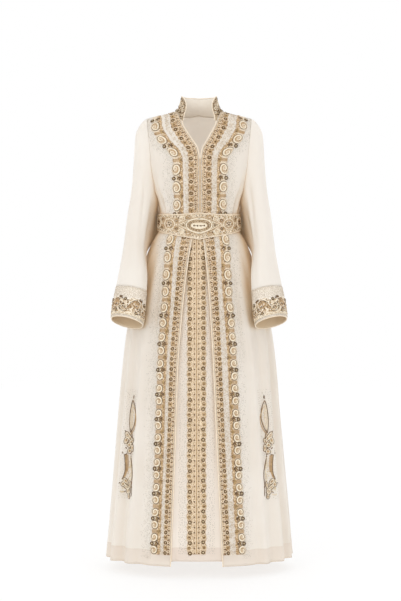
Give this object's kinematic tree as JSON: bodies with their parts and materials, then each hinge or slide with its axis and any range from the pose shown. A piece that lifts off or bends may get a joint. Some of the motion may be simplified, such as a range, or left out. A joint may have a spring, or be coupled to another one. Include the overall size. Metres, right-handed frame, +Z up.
{
  "type": "kaftan",
  "caption": "Long ivory kaftan, worn and hollow: wide sleeves, embroidered front bands and cuffs, stand collar with V neck, under-panel and shaped belt.",
  "frame": {"origin": "middle of the shoulder line, between the two shoulder seams, where the wearer's shoulders carry the kaftan", "axes": "+Z up along the kaftan, the front faces -Y, +X to the wearer's left"},
  "size_m": [0.6158, 0.4082, 1.5191],
  "materials": {
    "crepe": "ivory silk crepe with a soft sheen",
    "under_crepe": "pale ivory crepe, a little sheer",
    "collar_crepe": "ivory crepe under dense tan embroidery",
    "cuff_embroidery": "doubled crepe under sequins and gold scrolls",
    "satin": "cream satin piping",
    "flower_embroidery": "tan satin stitch with bronze beads",
    "scroll_embroidery": "gold couched cord, satin stitch and beads",
    "belt_cloth": "stiffened crepe under gold embroidery",
    "medallion": "gold cord and beads on stiffened cloth",
    "gold_thread": "metallic gold thread, satin stitched",
    "pale_thread": "pale champagne cord, couched",
    "bronze_bead": "dark bronze glass beads",
    "silver_sequin": "silvered sequins and small beads"
  },
  "bodies": {
    "root": {"front_left": "crepe", "front_right": "crepe", "back": "crepe", "sleeve_left": "crepe", "sleeve_right": "crepe", "cuff_left": "cuff_embroidery", "cuff_right": "cuff_embroidery", "cuff_piping_left": "satin", "cuff_piping_right": "satin", "collar": "collar_crepe", "collar_piping": "satin", "edge_piping_left": "satin", "edge_piping_right": "satin", "flower_band_left": "flower_embroidery", "flower_band_right": "flower_embroidery", "scroll_band_left": "scroll_embroidery", "scroll_band_right": "scroll_embroidery", "belt": "belt_cloth", "belt_piping_top": "satin", "belt_piping_bottom": "satin", "belt_medallion": "medallion", "under_panel": "under_crepe", "under_strip": "flower_embroidery", "skirt_motif_left": "scroll_embroidery", "skirt_motif_right": "scroll_embroidery"}
  },
  "joints": []
}
